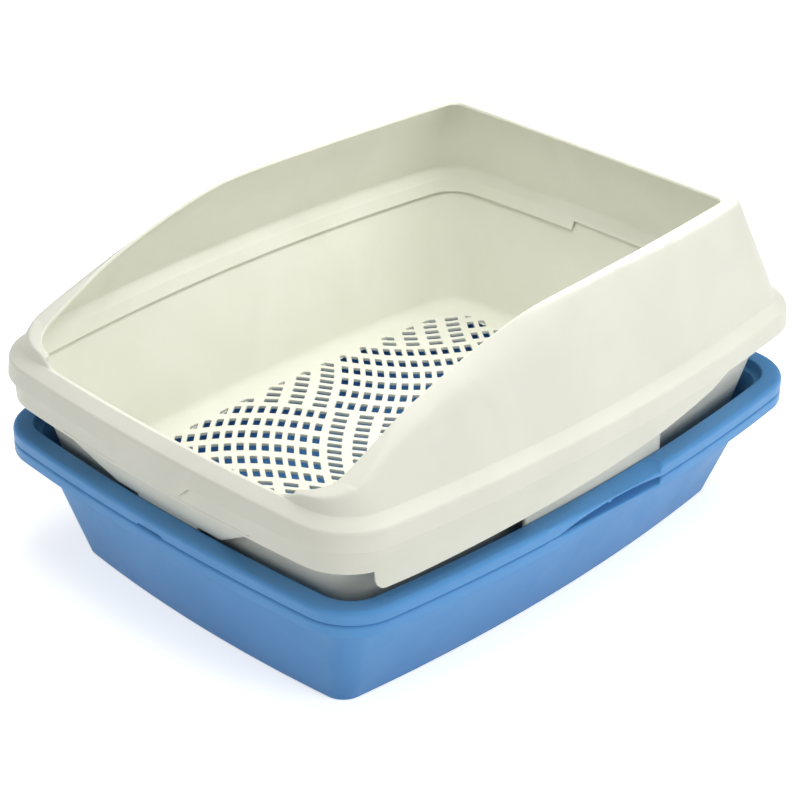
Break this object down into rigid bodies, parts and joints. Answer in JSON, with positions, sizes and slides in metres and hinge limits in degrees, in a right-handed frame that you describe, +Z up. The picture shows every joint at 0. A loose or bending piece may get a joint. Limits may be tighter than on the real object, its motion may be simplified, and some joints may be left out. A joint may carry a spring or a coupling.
{
  "type": "sifting litter pan",
  "caption": "Open litter pan with a slotted sifting tray standing in nested catch pans, and a high clip-over frame with a low front entry.",
  "frame": {"origin": "centre of the flat base that the lower catch pan stands on", "axes": "+Z up, +Y along the long sides towards the back, so the low entry faces -Y"},
  "size_m": [0.3838, 0.483, 0.2375],
  "materials": {
    "blue_plastic": "moulded polypropylene, satin",
    "cream_plastic": "moulded polypropylene, satin"
  },
  "bodies": {
    "lower_pan": {"lower_catch_pan": "blue_plastic"},
    "upper_pan": {"upper_catch_pan": "blue_plastic"},
    "sifter": {"sifting_pan": "cream_plastic"},
    "guard": {"frame": "cream_plastic"}
  },
  "joints": [
    {"name": "lift_upper_pan", "type": "slide", "parent": "lower_pan", "child": "upper_pan", "axis": [0, 0, 1], "range_m": [0, 0.12]},
    {"name": "lift_sifter", "type": "slide", "parent": "upper_pan", "child": "sifter", "axis": [0, 0, 1], "range_m": [0, 0.12]},
    {"name": "lift_frame", "type": "slide", "parent": "sifter", "child": "guard", "axis": [0, 0, 1], "range_m": [0, 0.06]}
  ]
}
